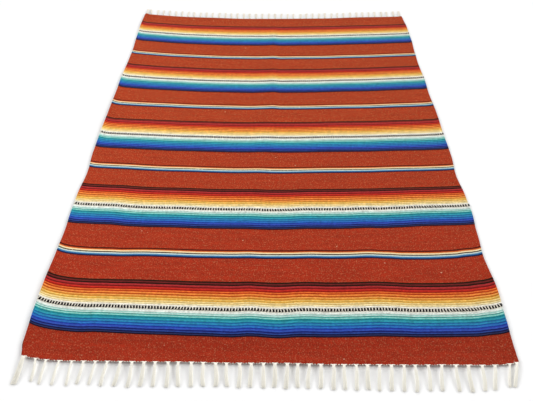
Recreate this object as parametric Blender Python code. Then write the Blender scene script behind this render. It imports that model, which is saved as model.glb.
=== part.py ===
"""A mexican serape blanket, laid out flat: one woven web with raised weft ribs, and a fringe at each end.

Metres. +X runs across the blanket, +Y along it away from its front end, and +Z is up. The tables give
places on the cloth as its weft lines cross the middle; centre_on_origin then moves the whole footprint
to the middle of the floor.
"""

import random
from collections import namedtuple

import bmesh
import bpy
from mathutils import Vector

# The web: 5 feet wide and 7 feet long between its four corners.
HALF_WIDTH = 0.760
FRONT_END_Y = -1.0815
BACK_END_Y = 1.0160
THICKNESS = 0.0024

# The stripes: five rainbow bands of thick ribs, and a narrow band between each two of them.
Stripe = namedtuple("Stripe", "near_edge width ribs rib_height ribs_to_one_underside_row")
STRIPES = (
    Stripe(-0.9950, 0.2030, 20, 0.0010, 5),
    Stripe(-0.6962, 0.0384, 4, 0.0005, 4),
    Stripe(-0.5620, 0.2050, 20, 0.0010, 5),
    Stripe(-0.2672, 0.0384, 4, 0.0005, 4),
    Stripe(-0.1400, 0.2060, 20, 0.0010, 5),
    Stripe(0.1573, 0.0384, 4, 0.0005, 4),
    Stripe(0.2900, 0.2055, 20, 0.0010, 5),
    Stripe(0.5863, 0.0384, 4, 0.0005, 4),
    Stripe(0.7220, 0.2070, 20, 0.0010, 5),
)

# The web's grid: flat rows in each stretch of plain ground.
GROUND_ROWS = 2
END_GROUND_ROWS = 4

# The fringe: locks of warp yarn on the narrow strip of the last weft rows, parted from the web.
STRIP_DEPTH = 0.0050
SEAM_GAP = 0.00035
LOCK_COUNT = 42
LEAST_WIDTH = 0.88
MOST_WIDTH = 1.15
ROOT_STRAY = 0.002
TIP_STRAY = 0.003
FRONT_SEED = 11
BACK_SEED = 12
FLOOR_CLEARANCE = 0.0004

# How far each long edge stands outside the straight line between its corners, where the weft row that
# crosses the middle of the cloth at y meets it. Rainbow bands push out and plain ground draws in.
Selvedge = namedtuple("Selvedge", "y left right")
SELVEDGES = (
    Selvedge(-1.081, 0.000, 0.000),
    Selvedge(-1.045, 0.011, 0.001),
    Selvedge(-0.940, 0.015, 0.006),
    Selvedge(-0.840, 0.015, 0.011),
    Selvedge(-0.700, 0.011, 0.002),
    Selvedge(-0.610, 0.009, 0.008),
    Selvedge(-0.500, 0.013, 0.016),
    Selvedge(-0.420, 0.013, 0.013),
    Selvedge(-0.295, 0.005, 0.004),
    Selvedge(-0.180, 0.012, 0.012),
    Selvedge(-0.030, 0.012, 0.010),
    Selvedge(0.100, 0.010, 0.012),
    Selvedge(0.260, 0.008, 0.007),
    Selvedge(0.350, 0.010, 0.010),
    Selvedge(0.510, 0.005, 0.006),
    Selvedge(0.610, 0.003, 0.008),
    Selvedge(0.740, 0.007, 0.013),
    Selvedge(0.880, 0.009, 0.012),
    Selvedge(1.000, 0.006, 0.005),
    Selvedge(1.018, 0.001, 0.001),
)

# How far a weft row climbs towards the back from the middle of the cloth to its left and right edges,
# and how much more it turns up in the last few centimetres.
Bow = namedtuple("Bow", "y left right corner")
BOWS = (
    Bow(-1.081, 0.000, 0.002, 0.014),
    Bow(-0.993, 0.020, 0.015, 0.016),
    Bow(-0.793, 0.014, 0.011, 0.020),
    Bow(-0.676, 0.013, 0.012, 0.016),
    Bow(-0.558, 0.022, 0.033, 0.000),
    Bow(-0.250, 0.028, 0.028, 0.000),
    Bow(0.067, 0.029, 0.033, 0.000),
    Bow(0.298, 0.043, 0.041, 0.000),
    Bow(0.732, 0.054, 0.040, 0.000),
    Bow(1.018, 0.053, 0.037, 0.000),
)
LEFT_BOW_POWER = 2.4
RIGHT_BOW_POWER = 1.4
CORNER_POWER = 14

# The low lengthwise ridges left from folding: where each crest runs, and how high the cloth stands there.
Ridge = namedtuple("Ridge", "y x height")
RIDGES = (
    (
        Ridge(-1.045, -0.60, 0.0000),
        Ridge(-0.880, -0.60, 0.0026),
        Ridge(-0.500, -0.59, 0.0022),
        Ridge(-0.150, -0.58, 0.0000),
    ),
    (
        Ridge(-1.045, -0.09, 0.0000),
        Ridge(-0.800, -0.09, 0.0024),
        Ridge(-0.350, -0.07, 0.0016),
        Ridge(-0.100, -0.03, 0.0020),
        Ridge(0.600, -0.02, 0.0022),
        Ridge(0.985, -0.02, 0.0000),
    ),
    (
        Ridge(-1.045, 0.13, 0.0000),
        Ridge(-0.900, 0.13, 0.0028),
        Ridge(-0.520, 0.14, 0.0020),
        Ridge(-0.200, 0.14, 0.0000),
    ),
    (
        Ridge(-1.045, 0.36, 0.0000),
        Ridge(-0.930, 0.36, 0.0022),
        Ridge(-0.600, 0.35, 0.0018),
        Ridge(-0.250, 0.35, 0.0000),
    ),
)

# The columns of the web's grid between its ridges, as parts of the half width.
OUTER_COLUMN = 0.935
PLAIN_COLUMNS = (-0.42, 0.80)
FOOT_REACH = 0.075
SHARED_FOOT_X = 0.245

# The set of the locks along an end, counted from the left: where the root stands, how far the tip lies
# to the right of it, and the lock's length. The locks between two rows share the step between them.
LockSet = namedtuple("LockSet", "number root lean length width")
FRONT_LOCKS = (
    LockSet(0, -0.752, -0.006, 0.084, 0.0150),
    LockSet(1, -0.714, 0.006, 0.069, 0.0085),
    LockSet(2, -0.679, -0.002, 0.072, 0.0085),
    LockSet(3, -0.637, -0.002, 0.072, 0.0088),
    LockSet(5, -0.565, -0.003, 0.072, 0.0090),
    LockSet(7, -0.489, -0.006, 0.072, 0.0100),
    LockSet(8, -0.451, -0.008, 0.072, 0.0110),
    LockSet(10, -0.380, -0.001, 0.074, 0.0115),
    LockSet(15, -0.201, 0.010, 0.073, 0.0120),
    LockSet(20, -0.015, -0.001, 0.072, 0.0120),
    LockSet(25, 0.159, -0.004, 0.072, 0.0120),
    LockSet(30, 0.336, -0.007, 0.075, 0.0115),
    LockSet(34, 0.480, -0.008, 0.078, 0.0110),
    LockSet(35, 0.525, -0.012, 0.079, 0.0110),
    LockSet(36, 0.567, -0.006, 0.080, 0.0110),
    LockSet(37, 0.604, -0.008, 0.079, 0.0110),
    LockSet(38, 0.644, -0.008, 0.079, 0.0105),
    LockSet(39, 0.686, -0.020, 0.071, 0.0100),
    LockSet(40, 0.730, -0.020, 0.070, 0.0095),
    LockSet(41, 0.753, -0.026, 0.071, 0.0095),
)
BACK_LOCKS = (
    LockSet(0, -0.753, -0.008, 0.066, 0.0105),
    LockSet(1, -0.731, -0.008, 0.067, 0.0105),
    LockSet(2, -0.691, -0.006, 0.066, 0.0105),
    LockSet(12, -0.321, -0.003, 0.069, 0.0110),
    LockSet(24, 0.123, 0.003, 0.066, 0.0110),
    LockSet(34, 0.493, 0.005, 0.067, 0.0105),
    LockSet(41, 0.752, 0.006, 0.069, 0.0105),
)

# A lock from root to tip: how far along it a section lies, its width over the lock's own, and its top.
LockSection = namedtuple("LockSection", "along width top")
LOCK_SECTIONS = (
    LockSection(0.06, 0.80, 0.0036),
    LockSection(0.25, 0.86, 0.0050),
    LockSection(0.65, 1.00, 0.0054),
    LockSection(1.00, 1.18, 0.0046),
)
TOP_OF_BOTTOM_WIDTH = 0.62
ROOT_WIDTH = 1.10

Row = namedtuple("Row", "y lift underside")


def clear_scene():
    for obj in list(bpy.data.objects):
        bpy.data.objects.remove(obj, do_unlink=True)


def read_table(table, column, along, eased=True):
    """A named column of a table where its first column is `along`, eased or straight from row to row."""
    if along <= table[0][0]:
        return getattr(table[0], column)
    for low, high in zip(table, table[1:]):
        if along <= high[0]:
            share = (along - low[0]) / (high[0] - low[0])
            if eased:
                share = share * share * (3 - 2 * share)
            return getattr(low, column) * (1 - share) + getattr(high, column) * share
    return getattr(table[-1], column)


def on_cloth(across, y):
    """The plan place where the weft row y meets the warp line `across`, from -1 at left to 1 at right."""
    side = "left" if across < 0 else "right"
    power = LEFT_BOW_POWER if across < 0 else RIGHT_BOW_POWER
    reach = HALF_WIDTH + read_table(SELVEDGES, side, y)
    climb = read_table(BOWS, side, y) * abs(across) ** power
    turn_up = read_table(BOWS, "corner", y) * abs(across) ** CORNER_POWER
    return across * reach, y + climb + turn_up


def ground_rows(start, end, count):
    """Flat rows from start to end, with the row at start left out."""
    step = (end - start) / count
    return [Row(start + step * (i + 1), 0.0, True) for i in range(count)]


def rib_rows(stripe):
    """A crest and a groove for each rib of a stripe; the underside shares a groove now and then."""
    pitch = stripe.width / stripe.ribs
    rows = []
    for rib in range(stripe.ribs):
        shared = (rib + 1) % stripe.ribs_to_one_underside_row == 0
        rows.append(Row(stripe.near_edge + pitch * (rib + 0.5), stripe.rib_height, False))
        rows.append(Row(stripe.near_edge + pitch * (rib + 1), 0.0, shared))
    return rows


def web_rows():
    """All weft rows of the web's grid, from the front end to the back end."""
    inset = STRIP_DEPTH + SEAM_GAP
    first = FRONT_END_Y + inset
    last = BACK_END_Y - inset
    rows = [Row(first, 0.0, True)]
    for stripe in STRIPES:
        at_front = stripe is STRIPES[0]
        rows += ground_rows(rows[-1].y, stripe.near_edge, END_GROUND_ROWS if at_front else GROUND_ROWS)
        rows += rib_rows(stripe)
    rows += ground_rows(rows[-1].y, last, END_GROUND_ROWS)
    return rows


def web_columns(y):
    """Each column's place across the row y, and how high the cloth stands there, from left to right."""
    crests = []
    for ridge in RIDGES:
        crests.append((read_table(ridge, "x", y), read_table(ridge, "height", y)))
    left_x, middle_x, inner_x, outer_x = (x for x, _ in crests)
    feet = [left_x - FOOT_REACH, left_x + FOOT_REACH, middle_x - FOOT_REACH]
    feet += [(middle_x + inner_x) / 2, SHARED_FOOT_X, outer_x + FOOT_REACH]
    columns = [(x / HALF_WIDTH, height) for x, height in crests]
    columns += [(x / HALF_WIDTH, 0.0) for x in feet]
    columns += [(across, 0.0) for across in (-1, -OUTER_COLUMN, *PLAIN_COLUMNS, OUTER_COLUMN, 1)]
    return sorted(columns)


def new_object(name, bm, material):
    mesh = bpy.data.meshes.new(name)
    bm.to_mesh(mesh)
    bm.free()
    mesh.materials.append(material)
    obj = bpy.data.objects.new(name, mesh)
    bpy.context.scene.collection.objects.link(obj)
    return obj


def yarn_material(name, colour, roughness):
    material = bpy.data.materials.new(name)
    material.use_nodes = True
    shader = material.node_tree.nodes["Principled BSDF"]
    shader.inputs["Base Color"].default_value = (*colour, 1.0)
    shader.inputs["Roughness"].default_value = roughness
    shader.inputs["Metallic"].default_value = 0.0
    return material


def make_web(material):
    """The web as one closed wall: ribbed rows on top, and plain, sparser rows underneath."""
    bm = bmesh.new()
    tops = []
    unders = []
    for row in web_rows():
        top = []
        under = []
        for across, stand in web_columns(row.y):
            x, y = on_cloth(across, row.y)
            top.append(bm.verts.new((x, y, stand + THICKNESS + row.lift)))
            if row.underside:
                under.append(bm.verts.new((x, y, stand)))
        tops.append(top)
        if row.underside:
            unders.append((len(tops) - 1, under))
    for near, far in zip(tops, tops[1:]):
        for i in range(len(near) - 1):
            bm.faces.new((near[i], near[i + 1], far[i + 1], far[i]))
    for (near_index, near), (far_index, far) in zip(unders, unders[1:]):
        for i in range(len(near) - 1):
            bm.faces.new((near[i], far[i], far[i + 1], near[i + 1]))
        left = [tops[k][0] for k in range(near_index, far_index + 1)]
        right = [tops[k][-1] for k in range(near_index, far_index + 1)]
        bm.faces.new((near[0], *left, far[0]))
        bm.faces.new((far[-1], *reversed(right), near[-1]))
    front = unders[0][1]
    back = unders[-1][1]
    for i in range(len(front) - 1):
        bm.faces.new((front[i], front[i + 1], tops[0][i + 1], tops[0][i]))
        bm.faces.new((back[i + 1], back[i], tops[-1][i], tops[-1][i + 1]))
    return new_object("woven_cloth", bm, material)


def lock_roots(sets, seed):
    """Each lock's root across the end, its width, lean and length, a little unlike its neighbours'."""
    dice = random.Random(seed)
    locks = []
    for i in range(LOCK_COUNT):
        x = read_table(sets, "root", i, eased=False)
        if 1 < i < LOCK_COUNT - 2:
            x += dice.uniform(-ROOT_STRAY, ROOT_STRAY)
        width = read_table(sets, "width", i, eased=False) * dice.uniform(LEAST_WIDTH, MOST_WIDTH)
        lean = read_table(sets, "lean", i, eased=False) + dice.uniform(-TIP_STRAY, TIP_STRAY)
        length = read_table(sets, "length", i, eased=False) + dice.uniform(-TIP_STRAY, TIP_STRAY)
        locks.append((x, width, lean, length))
    return locks


def end_line(y):
    """Plan points of the weft row y, at the web's own columns, so that a strip beside it stays parallel."""
    return [on_cloth(across, y) for across, _ in web_columns(y)]


def line_y(points, x):
    """Where the line through plan points crosses x."""
    for (x0, y0), (x1, y1) in zip(points, points[1:]):
        if x <= x1:
            return y0 + (y1 - y0) * (x - x0) / (x1 - x0)
    return points[-1][1]


def grow_lock(bm, root, lock, outward):
    """Draws a lock out of the four root corners: bottom left, bottom right, top right, top left."""
    x, width, lean, length = lock
    start = sum((corner.co.y for corner in root)) / len(root)
    ring = list(root)
    for section in LOCK_SECTIONS:
        half = width * section.width / 2
        middle = x + lean * section.along
        y = start + outward * length * section.along
        low = FLOOR_CLEARANCE
        top_half = half * TOP_OF_BOTTOM_WIDTH
        corners = (
            (middle - half, y, low),
            (middle + half, y, low),
            (middle + top_half, y, section.top),
            (middle - top_half, y, section.top),
        )
        fresh = [bm.verts.new(corner) for corner in corners]
        for i in range(4):
            j = (i + 1) % 4
            bm.faces.new((ring[i], ring[j], fresh[j], fresh[i]))
        ring = fresh
    bm.faces.new(ring)


def make_fringe(name, end_y, outward, sets, seed, material):
    """The strip of the last weft rows at one end, with the locks that grow out of its outer face."""
    bm = bmesh.new()
    web_edge = end_line(end_y - outward * (STRIP_DEPTH + SEAM_GAP))
    shift = outward * SEAM_GAP
    inner = [(x, y + shift) for x, y in web_edge]
    locks = lock_roots(sets, seed)
    outer_x = [inner[0][0]]
    for x, width, _, _ in locks:
        half = width * ROOT_WIDTH / 2
        outer_x += [x - half, x + half]
    outer_x.append(inner[-1][0])
    outer = [(x, line_y(inner, x) + outward * STRIP_DEPTH) for x in outer_x]
    inner_low = [bm.verts.new((x, y, 0.0)) for x, y in inner]
    inner_high = [bm.verts.new((x, y, THICKNESS)) for x, y in inner]
    outer_low = [bm.verts.new((x, y, 0.0)) for x, y in outer]
    outer_high = [bm.verts.new((x, y, THICKNESS)) for x, y in outer]
    bm.faces.new(inner_high + outer_high[::-1])
    bm.faces.new(outer_low + inner_low[::-1])
    for i in range(len(inner) - 1):
        bm.faces.new((inner_low[i], inner_low[i + 1], inner_high[i + 1], inner_high[i]))
    bm.faces.new((inner_low[0], inner_high[0], outer_high[0], outer_low[0]))
    bm.faces.new((inner_low[-1], outer_low[-1], outer_high[-1], inner_high[-1]))
    for i in range(len(outer) - 1):
        root = (outer_low[i], outer_low[i + 1], outer_high[i + 1], outer_high[i])
        if i % 2 == 1:
            grow_lock(bm, root, locks[i // 2], outward)
        else:
            bm.faces.new(root)
    bmesh.ops.recalc_face_normals(bm, faces=bm.faces[:])
    return new_object(name, bm, material)


def centre_on_origin(objects):
    """Moves every mesh so that the middle of the whole footprint is at x = 0 and y = 0."""
    points = [vertex.co for obj in objects for vertex in obj.data.vertices]
    middle = Vector((0.0, 0.0, 0.0))
    for axis in (0, 1):
        values = [point[axis] for point in points]
        middle[axis] = (min(values) + max(values)) / 2
    for obj in objects:
        for vertex in obj.data.vertices:
            vertex.co -= middle


clear_scene()
rust_yarn = yarn_material("rust_weave", (0.36, 0.045, 0.018), 0.92)
cream_cotton = yarn_material("cream_cotton", (0.78, 0.72, 0.60), 0.85)
web = make_web(rust_yarn)
front = make_fringe("fringe_front", FRONT_END_Y, -1, FRONT_LOCKS, FRONT_SEED, cream_cotton)
back = make_fringe("fringe_back", BACK_END_Y, 1, BACK_LOCKS, BACK_SEED, cream_cotton)
centre_on_origin([web, front, back])
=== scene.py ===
"""Looks of a mexican serape blanket, laid out flat on a pale studio floor."""

import math
import random
from collections import namedtuple

import bpy
from mathutils import Matrix, Vector


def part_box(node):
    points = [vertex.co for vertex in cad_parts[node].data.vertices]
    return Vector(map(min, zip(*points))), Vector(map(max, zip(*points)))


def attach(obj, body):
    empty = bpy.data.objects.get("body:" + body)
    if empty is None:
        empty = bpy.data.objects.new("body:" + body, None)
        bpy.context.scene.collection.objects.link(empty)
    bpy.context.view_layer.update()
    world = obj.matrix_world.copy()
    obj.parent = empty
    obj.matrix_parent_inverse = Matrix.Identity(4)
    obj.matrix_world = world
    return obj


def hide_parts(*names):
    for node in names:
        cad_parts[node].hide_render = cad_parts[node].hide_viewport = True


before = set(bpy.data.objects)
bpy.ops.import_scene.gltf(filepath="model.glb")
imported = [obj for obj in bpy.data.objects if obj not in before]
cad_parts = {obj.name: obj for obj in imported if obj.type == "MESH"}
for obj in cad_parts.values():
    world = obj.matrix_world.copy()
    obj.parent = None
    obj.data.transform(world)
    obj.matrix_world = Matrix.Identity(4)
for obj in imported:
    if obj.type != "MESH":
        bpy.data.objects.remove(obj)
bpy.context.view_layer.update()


def table_of(titles, *rows):
    """A table whose columns have names, a row for each section, band or yarn."""
    row_kind = namedtuple("Row", titles)
    return [row_kind(*row) for row in rows]


def add_object(name, data):
    """A new object in the scene, made of a mesh, a light or the camera's lens."""
    added = bpy.data.objects.new(name, data)
    bpy.context.scene.collection.objects.link(added)
    return added


# The camera: held by someone who stands at the front end of the blanket and looks down along it.
# The angles are in degrees: down from level, turned to the left, and rolled.
CAMERA_PLACE = (0.0065, -1.6722, 1.4340)
CAMERA_DOWN = 48.46
CAMERA_LEFT = 1.08
CAMERA_ROLL = 0.28
SENSOR_WIDTH = 36.0
FOCAL_LENGTH = 32.68
lens = bpy.data.cameras.new("camera")
lens.sensor_width = SENSOR_WIDTH
lens.lens = FOCAL_LENGTH
camera = add_object("camera", lens)
turn = Matrix.Rotation(math.radians(CAMERA_LEFT), 4, "Z")
turn = turn @ Matrix.Rotation(math.radians(90 - CAMERA_DOWN), 4, "X")
turn = turn @ Matrix.Rotation(math.radians(-CAMERA_ROLL), 4, "Z")
camera.matrix_world = Matrix.Translation(CAMERA_PLACE) @ turn
bpy.context.scene.camera = camera

# The woven web: one weft-faced piece of cotton and acrylic yarn, as it comes off the loom, with no seams.
# Five rainbow bands of thick ribs and four narrow bands lie across a rust ground. It lies flat, 2.4 mm
# thick, with the low lengthwise creases that folding left in it.
HALF_WIDTH = 0.760
FRONT_END_Y = -1.0815
BACK_END_Y = 1.0160
THICKNESS = 0.0024
END_STRIP = 0.00535
REPEAT = 0.4325
BAND_WIDTH = 0.201
RIB_HEIGHT = 0.0012
NARROW_MIDDLE = 0.3135
NARROW_RIBS = 4
NARROW_PITCH = 0.0096
NARROW_HEIGHT = 0.0006
NARROW_WIDTH = NARROW_RIBS * NARROW_PITCH
GROOVES = (
    0, 8.8, 17.2, 27.5, 37.5, 47.5, 58, 68.5, 76.5, 89, 101.5,
    108, 115, 124, 133.8, 144, 154.2, 163.5, 174.2, 186, 201,
)
TICK_MIDDLE = 0.0955

# The grid that the web is built on, with closer lines by its ends and edges, and how its edge is rounded.
ROWS_IN_RIB = 6
ROWS_IN_NARROW_RIB = 5
TOP_ROWS_TO_UNDER = 4
GROUND_ROW_STEP = 0.0085
END_INSETS = (0.003, 0.0012)
COLUMNS = 86
INNER_REACH = 0.975
EDGE_COLUMNS = (0.985, 0.992, 0.9965, 0.999, 1.0)
EDGE_REACH = 0.0045
TOP_ROUNDING = 0.42
UNDER_ROUNDING = 0.6

# Where each rainbow band lies on the cloth, how wide it came out on the loom, and where the narrow band
# behind it starts. No narrow band follows the last one.
BANDS = table_of(
    "near_edge width narrow_edge",
    (-0.9950, 0.2030, -0.6962),
    (-0.5620, 0.2050, -0.2672),
    (-0.1400, 0.2060, 0.1573),
    (0.2900, 0.2055, 0.5863),
    (0.7220, 0.2070, None),
)

# How far each long edge stands outside the straight line between its corners.
SELVEDGES = table_of(
    "y left right",
    (-1.081, 0.000, 0.000),
    (-1.045, 0.011, 0.001),
    (-0.940, 0.015, 0.006),
    (-0.840, 0.015, 0.011),
    (-0.700, 0.011, 0.002),
    (-0.610, 0.009, 0.008),
    (-0.500, 0.013, 0.016),
    (-0.420, 0.013, 0.013),
    (-0.295, 0.005, 0.004),
    (-0.180, 0.012, 0.012),
    (-0.030, 0.012, 0.010),
    (0.100, 0.010, 0.012),
    (0.260, 0.008, 0.007),
    (0.350, 0.010, 0.010),
    (0.510, 0.005, 0.006),
    (0.610, 0.003, 0.008),
    (0.740, 0.007, 0.013),
    (0.880, 0.009, 0.012),
    (1.000, 0.006, 0.005),
    (1.018, 0.001, 0.001),
)

# How far a weft row climbs towards the back from the middle to each edge, and turns up in the corners.
BOWS = table_of(
    "y left right corner",
    (-1.081, 0.000, 0.002, 0.014),
    (-0.993, 0.020, 0.015, 0.016),
    (-0.793, 0.014, 0.011, 0.020),
    (-0.676, 0.013, 0.012, 0.016),
    (-0.558, 0.022, 0.033, 0.000),
    (-0.250, 0.028, 0.028, 0.000),
    (0.067, 0.029, 0.033, 0.000),
    (0.298, 0.043, 0.041, 0.000),
    (0.732, 0.054, 0.040, 0.000),
    (1.018, 0.053, 0.037, 0.000),
)
LEFT_BOW_POWER = 2.4
RIGHT_BOW_POWER = 1.4
CORNER_POWER = 14

# A weft doesn't run quite straight: how many millimetres it lies nearer the back end than it should, along
# the front band, the first narrow band and the second rainbow band.
STRAYS = table_of(
    "x front_band narrow_band second_band",
    (-0.76, -1.0, -5.0, 1.0),
    (-0.60, -1.8, -3.0, 2.0),
    (-0.55, 2.0, -1.0, 0.0),
    (-0.45, 1.2, 1.5, -1.2),
    (-0.33, 1.6, 1.0, 0.0),
    (-0.24, -0.9, -0.5, -0.5),
    (-0.12, -2.2, -1.0, -0.5),
    (-0.06, 2.2, 1.0, -1.0),
    (0.03, -3.4, 1.2, -0.6),
    (0.10, 1.0, 0.5, 0.0),
    (0.18, 0.8, 1.5, -1.0),
    (0.34, 1.6, 2.5, -1.2),
    (0.42, 0.8, 0.5, -4.0),
    (0.47, -1.4, -2.5, -2.0),
    (0.57, -2.9, -3.0, 2.0),
    (0.66, -3.4, -1.5, 0.0),
    (0.70, -0.8, 2.0, -1.0),
    (0.76, -2.8, 0.0, 0.0),
)
STRAY_COLUMNS = ("front_band", "narrow_band", "second_band")
STRAY_SHARES = table_of(
    "y front_band narrow_band second_band",
    (-1.065, 0.0, 0.0, 0.0),
    (-0.995, 1.0, 0.0, 0.0),
    (-0.880, 0.8, 0.2, 0.0),
    (-0.677, 0.0, 1.0, 0.0),
    (-0.560, 0.0, 0.0, 1.0),
    (-0.250, 0.0, 0.0, 0.3),
    (0.100, 0.0, 0.3, 0.1),
    (0.980, 0.0, 0.0, 0.0),
)

# Two slow waves in every row besides: how far each goes, its closeness across and along, and its start.
WANDER_WAVES = table_of(
    "height across along start",
    (0.0005, 9, 3, 0.0),
    (0.0006, 23, -5, 1.7),
)

# The lengthwise creases: where each crest runs along the cloth, how high it stands and how far it reaches.
CREASES = [table_of("y x height reach", *rows) for rows in (
    (
        (-1.045, -0.60, 0.0000, 0.070),
        (-0.880, -0.60, 0.0026, 0.075),
        (-0.500, -0.59, 0.0022, 0.075),
        (-0.150, -0.58, 0.0000, 0.080),
    ),
    (
        (-1.045, -0.09, 0.0000, 0.070),
        (-0.800, -0.09, 0.0024, 0.075),
        (-0.350, -0.07, 0.0016, 0.070),
        (-0.100, -0.03, 0.0020, 0.075),
        (0.600, -0.02, 0.0022, 0.075),
        (0.985, -0.02, 0.0000, 0.080),
    ),
    (
        (0.050, 0.005, 0.0000, 0.030),
        (0.180, 0.005, 0.0028, 0.036),
        (0.880, 0.005, 0.0026, 0.036),
        (1.000, 0.005, 0.0000, 0.036),
    ),
    (
        (-1.045, 0.13, 0.0000, 0.070),
        (-0.900, 0.13, 0.0028, 0.075),
        (-0.520, 0.14, 0.0020, 0.075),
        (-0.200, 0.14, 0.0000, 0.080),
    ),
    (
        (-1.045, 0.36, 0.0000, 0.070),
        (-0.930, 0.36, 0.0022, 0.075),
        (-0.600, 0.35, 0.0018, 0.075),
        (-0.250, 0.35, 0.0000, 0.080),
    ),
)]

# The cloth doesn't lie quite dead: its ends and edges stand a few millimetres off the floor, and the curl
# comes and goes in slow waves, by a share of its height, with a closeness and a start.
FRONT_CURL = 0.0080
BACK_CURL = 0.0040
END_CURL_REACH = 0.055
LEFT_CURL = 0.0090
RIGHT_CURL = 0.0050
SIDE_CURL_REACH = 0.035
CurlWave = namedtuple("CurlWave", "share closeness start")
END_CURL_WAVE = CurlWave(0.20, 14, 0.6)
SIDE_CURL_WAVE = CurlWave(0.25, 6.3, 0.8)

# The cloth's own places run from the weft row that crosses its middle; this moves them into the frame.
ASIDE_IN_FRAME = -0.0005
web_low, web_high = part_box("woven_cloth")
TO_FRAME_X = (web_low.x + web_high.x) / 2 + ASIDE_IN_FRAME
TO_FRAME_Y = web_low.y - (FRONT_END_Y + END_STRIP)


def read_table(table, column, along, eased=True):
    """A named column of a table where its first column is `along`, eased or straight from row to row."""
    if along <= table[0][0]:
        return getattr(table[0], column)
    for low, high in zip(table, table[1:]):
        if along <= high[0]:
            share = (along - low[0]) / (high[0] - low[0])
            if eased:
                share = share * share * (3 - 2 * share)
            return getattr(low, column) * (1 - share) + getattr(high, column) * share
    return getattr(table[-1], column)


def weft_row(y):
    """What the points of the weft row y share: its reach and climb at left and right, creases and strays."""
    sides = [HALF_WIDTH + read_table(SELVEDGES, side, y) for side in ("left", "right")]
    climbs = [read_table(BOWS, side, y) for side in ("left", "right")]
    creases = [[read_table(crease, column, y) for column in ("x", "height", "reach")] for crease in CREASES]
    strays = [read_table(STRAY_SHARES, column, y) / 1000 for column in STRAY_COLUMNS]
    return y, sides, climbs, read_table(BOWS, "corner", y), creases, strays


def curl_share(wave, place):
    """How much of the full curl is left at a place along the end or edge."""
    return 1 - wave.share + wave.share * math.sin(wave.closeness * place + wave.start)


def on_cloth(row, across):
    """Where a weft row meets the warp line `across`, from -1 at left to 1 at right, on the underside."""
    y, sides, climbs, corner, creases, strays = row
    side = 0 if across < 0 else 1
    power = (LEFT_BOW_POWER, RIGHT_BOW_POWER)[side]
    x = across * sides[side]
    climb = climbs[side] * abs(across) ** power + corner * abs(across) ** CORNER_POWER
    wander = 0.0
    for wave in WANDER_WAVES:
        wander += wave.height * math.sin(wave.across * x + wave.along * y + wave.start)
    for column, share in zip(STRAY_COLUMNS, strays):
        if share:
            wander += share * read_table(STRAYS, column, across * HALF_WIDTH)
    lift = 0.0
    for crest, height, reach in creases:
        distance = abs(across * HALF_WIDTH - crest)
        if distance < reach:
            lift += height * math.cos(math.pi / 2 * distance / reach) ** 2
    front = max(0.0, 1 - (y - FRONT_END_Y) / END_CURL_REACH) ** 2 * FRONT_CURL
    back = max(0.0, 1 - (BACK_END_Y - y) / END_CURL_REACH) ** 2 * BACK_CURL
    rise = (front + back) * curl_share(END_CURL_WAVE, x)
    side_curl = (LEFT_CURL, RIGHT_CURL)[side] * curl_share(SIDE_CURL_WAVE, y)
    side_rise = max(0.0, 1 - (1 - abs(across)) * HALF_WIDTH / SIDE_CURL_REACH) ** 2 * side_curl
    rise = (rise ** 3 + side_rise ** 3) ** (1 / 3)
    return Vector((x + TO_FRAME_X, y + climb + wander + TO_FRAME_Y, lift + rise))


Weft = namedtuple("Weft", "y pattern rib narrow")


def pattern_rows():
    """Every weft row of the web's grid: its place on the cloth and in the pattern, and its place in ribs."""
    rows = []
    ground_from = (FRONT_END_Y, FRONT_END_Y - BANDS[0].near_edge)
    for number, band in enumerate(BANDS):
        start = number * REPEAT
        rows += ground_rows(ground_from, (band.near_edge, start))
        for rib, (near, far) in enumerate(zip(GROOVES, GROOVES[1:])):
            for i in range(ROWS_IN_RIB):
                place = (near + (far - near) * i / ROWS_IN_RIB) / 1000
                y = band.near_edge + place * band.width / BAND_WIDTH
                rows.append(Weft(y, start + place, rib + i / ROWS_IN_RIB, 0.0))
        ground_from = (band.near_edge + band.width, start + BAND_WIDTH)
        if band.narrow_edge is not None:
            start += NARROW_MIDDLE - NARROW_WIDTH / 2
            rows += ground_rows(ground_from, (band.narrow_edge, start))
            for i in range(NARROW_RIBS * ROWS_IN_NARROW_RIB):
                place = i * NARROW_PITCH / ROWS_IN_NARROW_RIB
                rows.append(Weft(band.narrow_edge + place, start + place, i / ROWS_IN_NARROW_RIB, 1.0))
            ground_from = (band.narrow_edge + NARROW_WIDTH, start + NARROW_WIDTH)
    back = (BACK_END_Y, ground_from[1] + BACK_END_Y - ground_from[0])
    rows += ground_rows(ground_from, back)
    rows.append(Weft(*back, 0.0, 0.0))
    for inset in END_INSETS:
        rows.insert(1, Weft(rows[0].y + inset, rows[0].pattern + inset, 0.0, 0.0))
        rows.insert(-1, Weft(rows[-1].y - inset, rows[-1].pattern - inset, 0.0, 0.0))
    return sorted(rows)


def ground_rows(near, far):
    """Flat rows from near to just before far; each of the two is a place on the cloth and in the pattern."""
    count = max(2, round((far[0] - near[0]) / GROUND_ROW_STEP))
    rows = []
    for i in range(count):
        y, pattern = (a + (b - a) * i / count for a, b in zip(near, far))
        rows.append(Weft(y, pattern, 0.0, 0.0))
    return rows


def web_columns():
    """The warp lines of the web's grid, closer together by the two selvedges."""
    inner = [-INNER_REACH + 2 * INNER_REACH * i / COLUMNS for i in range(COLUMNS + 1)]
    return [-across for across in reversed(EDGE_COLUMNS)] + inner + list(EDGE_COLUMNS)


def faces_between(first, second, wide):
    """Faces that join two rows of points, whose first points have these numbers."""
    return [(first + i, first + i + 1, second + i + 1, second + i) for i in range(wide - 1)]


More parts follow.
